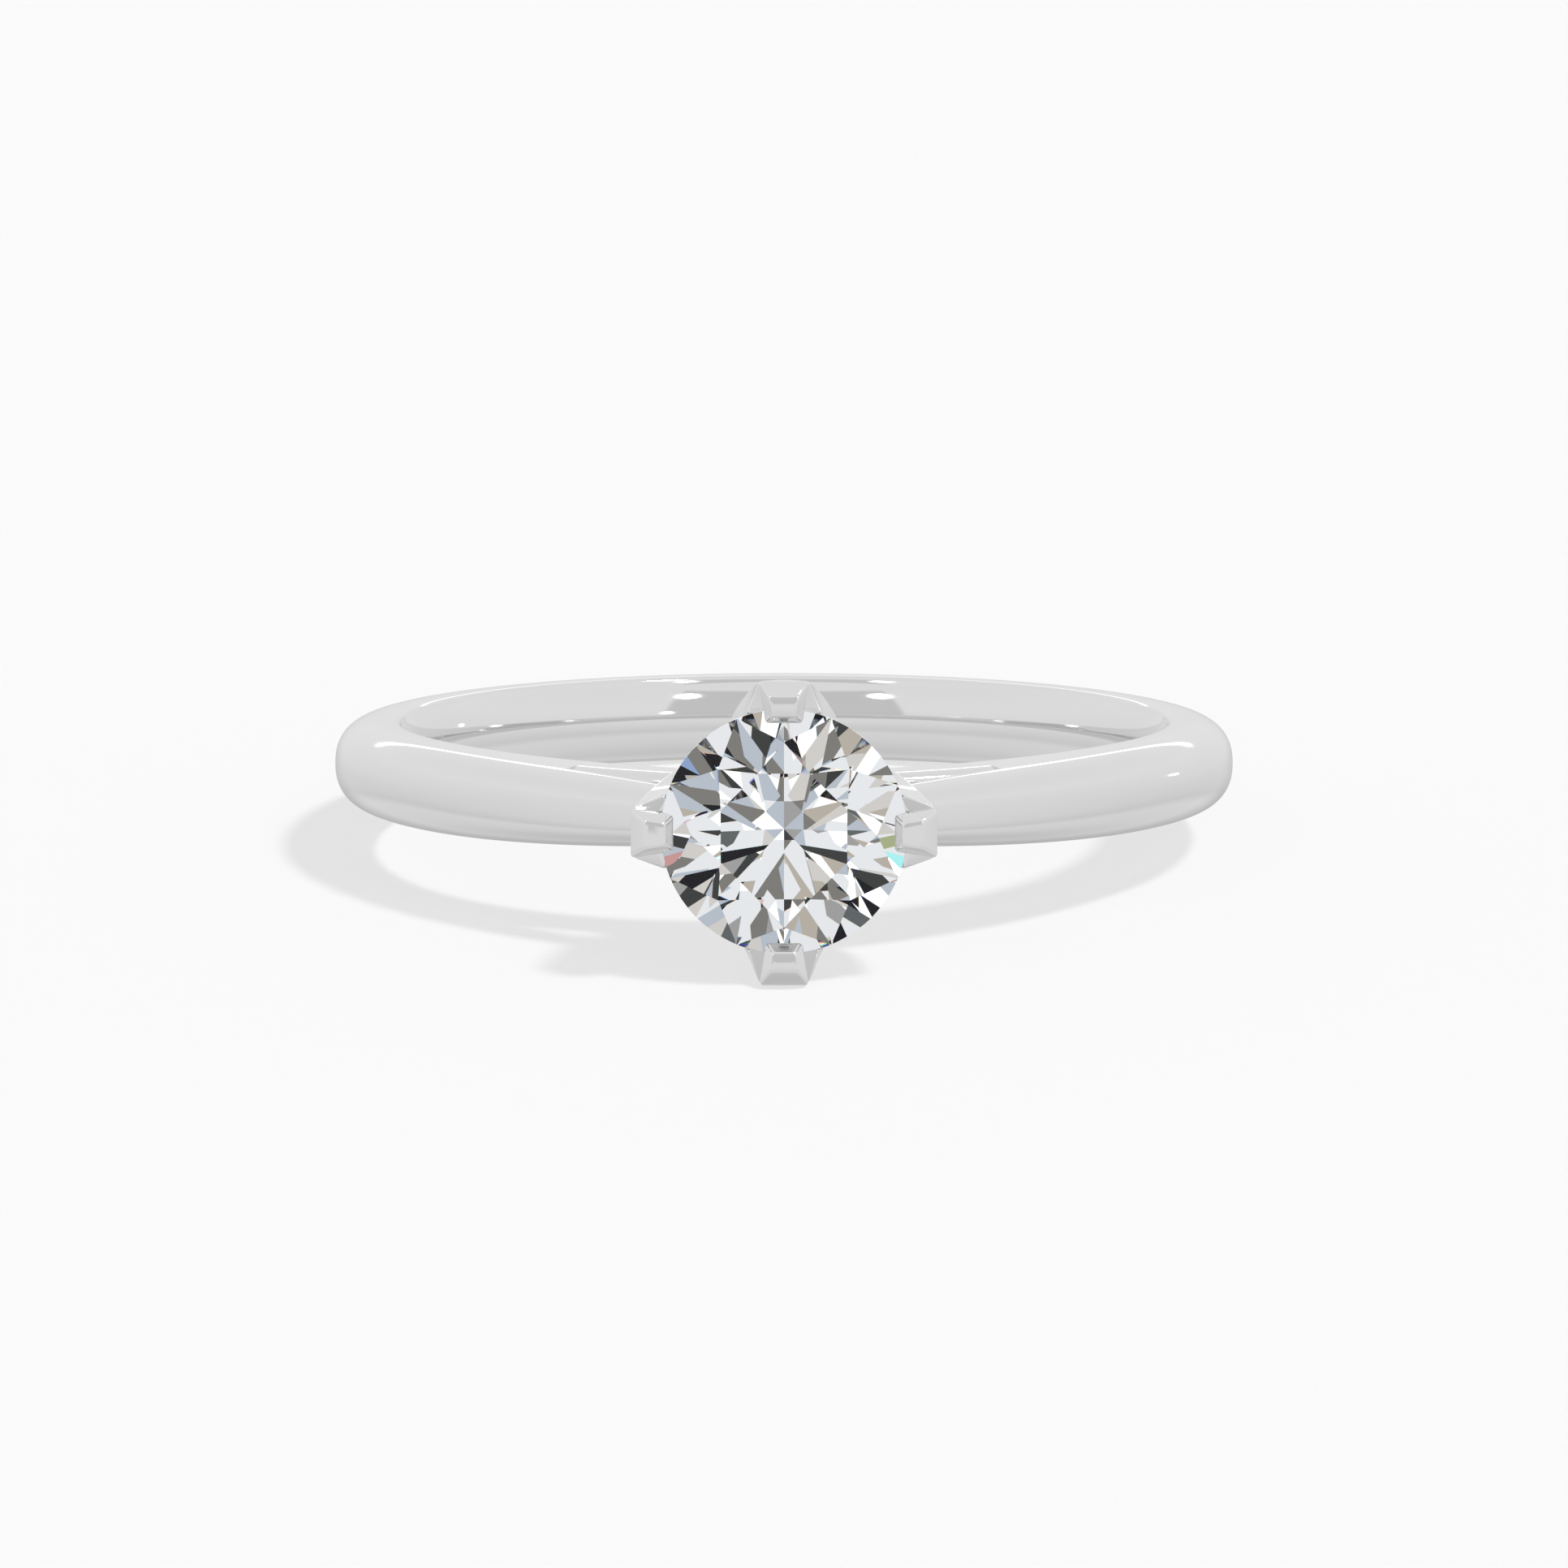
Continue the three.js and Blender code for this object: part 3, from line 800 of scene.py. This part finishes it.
CAMERA_DISTANCE = 250 * MM
CAMERA_RISE = 6.86  # degrees above the plane of the ring
CAMERA_AIM = 0.491 * MM  # below the middle of the finger hole
CAMERA_LENS, CAMERA_SENSOR = 268.9, 36
CAMERA_CLIP = (10 * MM, 10000 * MM)


def camera():
    """It looks at the stone's face, a little from above."""
    data = bpy.data.cameras.new("camera")
    data.lens = CAMERA_LENS
    data.sensor_width = CAMERA_SENSOR
    data.clip_start, data.clip_end = CAMERA_CLIP
    made = bpy.data.objects.new("camera", data)
    bpy.context.scene.collection.objects.link(made)
    rise = math.radians(CAMERA_RISE) + lean
    back = Vector((0, -math.cos(rise), math.sin(rise)))
    up = Vector((0, math.sin(rise), math.cos(rise)))
    made.location = Vector(hole["pos_m"]) + CAMERA_DISTANCE * back - CAMERA_AIM * up
    made.rotation_euler = (math.pi / 2 - rise, 0, 0)
    bpy.context.scene.camera = made


KEY_FROM = (0.53, -0.33, 1.0)
KEY_STRENGTH = 0.7
KEY_SIZE = 9  # degrees across


def lights():
    """The one lamp that casts the ring's shadow."""
    data = bpy.data.lights.new("key", "SUN")
    data.energy = KEY_STRENGTH
    data.angle = math.radians(KEY_SIZE)
    made = bpy.data.objects.new("key", data)
    made.rotation_euler = Vector(KEY_FROM).to_track_quat("Z", "Y").to_euler()
    bpy.context.scene.collection.objects.link(made)


# The studio, a soft tent. Directions are unit vectors in the scene and a height is their Z.
# Sizes and blurs are lengths on the unit sphere, except that a spot's blur is a share of its
# size. STUDIO runs from straight down to straight up.

SOFT_LIGHT = 0.865  # what the table gets from the tent
STUDIO = [(0.0, grey(0.6)), (0.1, grey(0.68)), (0.2, grey(0.78)), (0.29, grey(0.82)),
          (0.345, grey(0.72)), (0.4, grey(0.78)), (0.46, grey(0.84)), (0.65, grey(0.9)),
          (1.0, grey(0.86))]
# A bright strip behind the ring, between two heights and from one Y onwards.
STRIP_HEIGHT, STRIP_HEIGHT_BLUR = (0.26, 0.3), 0.006
STRIP_BEHIND, STRIP_BEHIND_BLUR = (0.9, 2), 0.05
STRIP_LIGHT = 1.4
# A grey card in front of it, as wide as a turn in radians to each side.
FRONT_HALF_TURN, FRONT_HEIGHT, FRONT_BLUR = 0.67, (0.02, 0.7), 0.02
FRONT_SHADE = 0.26
# A dim patch behind it and below.
DIM_PLACE, DIM_SIZE, DIM_BLUR, DIM_SHADE = (0, 0.89, -0.46), 0.32, 0.8, 0.36
# Small lamps, each a direction and a size.
LAMPS = [((0.857, 0.515, 0.06), 0.018), ((0.46, -0.66, 0.6), 0.055), ((-0.46, -0.66, 0.6), 0.055),
         ((0.6, -0.78, 0.2), 0.03)]
LAMP_LIGHT, LAMP_BLUR = 6.0, 0.3
# The cards round the stone: how closely they stand, and how many of each colour.
CARD_SCALE = 4.6
CARDS = [(0.0, (0.006, 0.006, 0.01)), (0.09, (0.045, 0.05, 0.048)), (0.2, (0.13, 0.145, 0.15)),
         (0.27, (0.23, 0.225, 0.21)), (0.34, (0.4, 0.4, 0.4)), (0.42, (0.3, 0.42, 0.7)),
         (0.46, (0.55, 0.5, 0.43)), (0.51, (0.55, 0.61, 0.69)), (0.59, (0.74, 0.72, 0.69)),
         (0.66, (0.94, 0.96, 0.99)), (0.93, (1.3, 1.3, 1.3))]


def spot_at(tree, direction, place, size, blur):
    """1 within a round patch of sky, its blur a share of its size."""
    distance = add(tree, "ShaderNodeVectorMath", operation="DISTANCE")
    tree.links.new(direction, distance.inputs[0])
    distance.inputs[1].default_value = Vector(place).normalized()
    return between(tree, distance.outputs["Value"], -1, size, blur * size)


def studio_sky(tree, direction):
    """The tent as the metal mirrors it."""

    def times(a, b):
        return arithmetic(tree, "MULTIPLY", a, b)

    def lit(level, mask, light):
        return arithmetic(tree, "ADD", level, times(mask, light))

    def shaded(level, mask, shade):
        return times(level, arithmetic(tree, "SUBTRACT", 1, times(mask, shade)))

    split = add(tree, "ShaderNodeSeparateXYZ")
    tree.links.new(direction, split.inputs["Vector"])
    x, y, z = (split.outputs[axis] for axis in "XYZ")
    tent = add(tree, "ShaderNodeRGBToBW")
    up = arithmetic(tree, "MULTIPLY_ADD", z, 0.5, 0.5)
    tree.links.new(ramp(tree, up, STUDIO), tent.inputs["Color"])
    strip = times(between(tree, z, *STRIP_HEIGHT, STRIP_HEIGHT_BLUR),
                  between(tree, y, *STRIP_BEHIND, STRIP_BEHIND_BLUR))
    turn = arithmetic(tree, "ARCTAN2", x, times(y, -1))
    front = times(between(tree, turn, -FRONT_HALF_TURN, FRONT_HALF_TURN, FRONT_BLUR),
                  between(tree, z, *FRONT_HEIGHT, FRONT_BLUR))
    level = lit(tent.outputs["Val"], strip, STRIP_LIGHT)
    level = shaded(level, front, FRONT_SHADE)
    level = shaded(level, spot_at(tree, direction, DIM_PLACE, DIM_SIZE, DIM_BLUR), DIM_SHADE)
    for place, size in LAMPS:
        level = lit(level, spot_at(tree, direction, place, size, LAMP_BLUR), LAMP_LIGHT)
    return level


def stone_cards(tree, direction):
    """What the stone gathers: white, grey, tinted and black cards all round it."""
    cells = add(tree, "ShaderNodeTexVoronoi")
    cells.inputs["Scale"].default_value = CARD_SCALE
    tree.links.new(direction, cells.inputs["Vector"])
    pick = add(tree, "ShaderNodeSeparateColor")
    tree.links.new(cells.outputs["Color"], pick.inputs["Color"])
    return ramp(tree, pick.outputs["Blue"], CARDS, "CONSTANT")


def surroundings():
    """Soft light for the table, cards for the stone, and the tent for everything else."""
    world = bpy.data.worlds.new("studio")
    world.use_nodes = True
    bpy.context.scene.world = world
    tree = world.node_tree
    place = add(tree, "ShaderNodeTexCoord")
    direction = place.outputs["Generated"]
    path = add(tree, "ShaderNodeLightPath")
    tent = add(tree, "ShaderNodeMix", data_type="RGBA")
    tree.links.new(path.outputs["Is Diffuse Ray"], tent.inputs["Factor"])
    tree.links.new(studio_sky(tree, direction), tent.inputs["A"])
    tent.inputs["B"].default_value = (*grey(SOFT_LIGHT), 1)
    through_stone = arithmetic(tree, "GREATER_THAN", path.outputs["Transmission Depth"], 0.5)
    seen = add(tree, "ShaderNodeMix", data_type="RGBA")
    tree.links.new(through_stone, seen.inputs["Factor"])
    tree.links.new(tent.outputs["Result"], seen.inputs["A"])
    tree.links.new(stone_cards(tree, direction), seen.inputs["B"])
    tree.links.new(seen.outputs["Result"], tree.nodes["Background"].inputs["Color"])


def settings():
    """Colours as they are, and enough bounces for the light inside the stone."""
    scene = bpy.context.scene
    scene.view_settings.view_transform = "Standard"
    scene.cycles.max_bounces = 24
    scene.cycles.transmission_bounces = 20
    scene.cycles.glossy_bounces = 10


band_metal = polished_metal("white_gold_band", BAND_GOLD, BAND_SCRATCHES)
head_metal = polished_metal("white_gold_head", HEAD_GOLD, HEAD_SCRATCHES)
shank(band_metal)
shoulder("shoulder_right_polished", "shoulder_right", 1, band_metal)
shoulder("shoulder_left_polished", "shoulder_left", -1, band_metal)
bridge(band_metal)
collet(head_metal)
rivet(head_metal)
for index, side in enumerate(("north", "west", "south", "east")):
    claw(side, 90 * index, head_metal)
brilliant(diamond_look(), girdle_look())
floor()
camera()
lights()
surroundings()
settings()
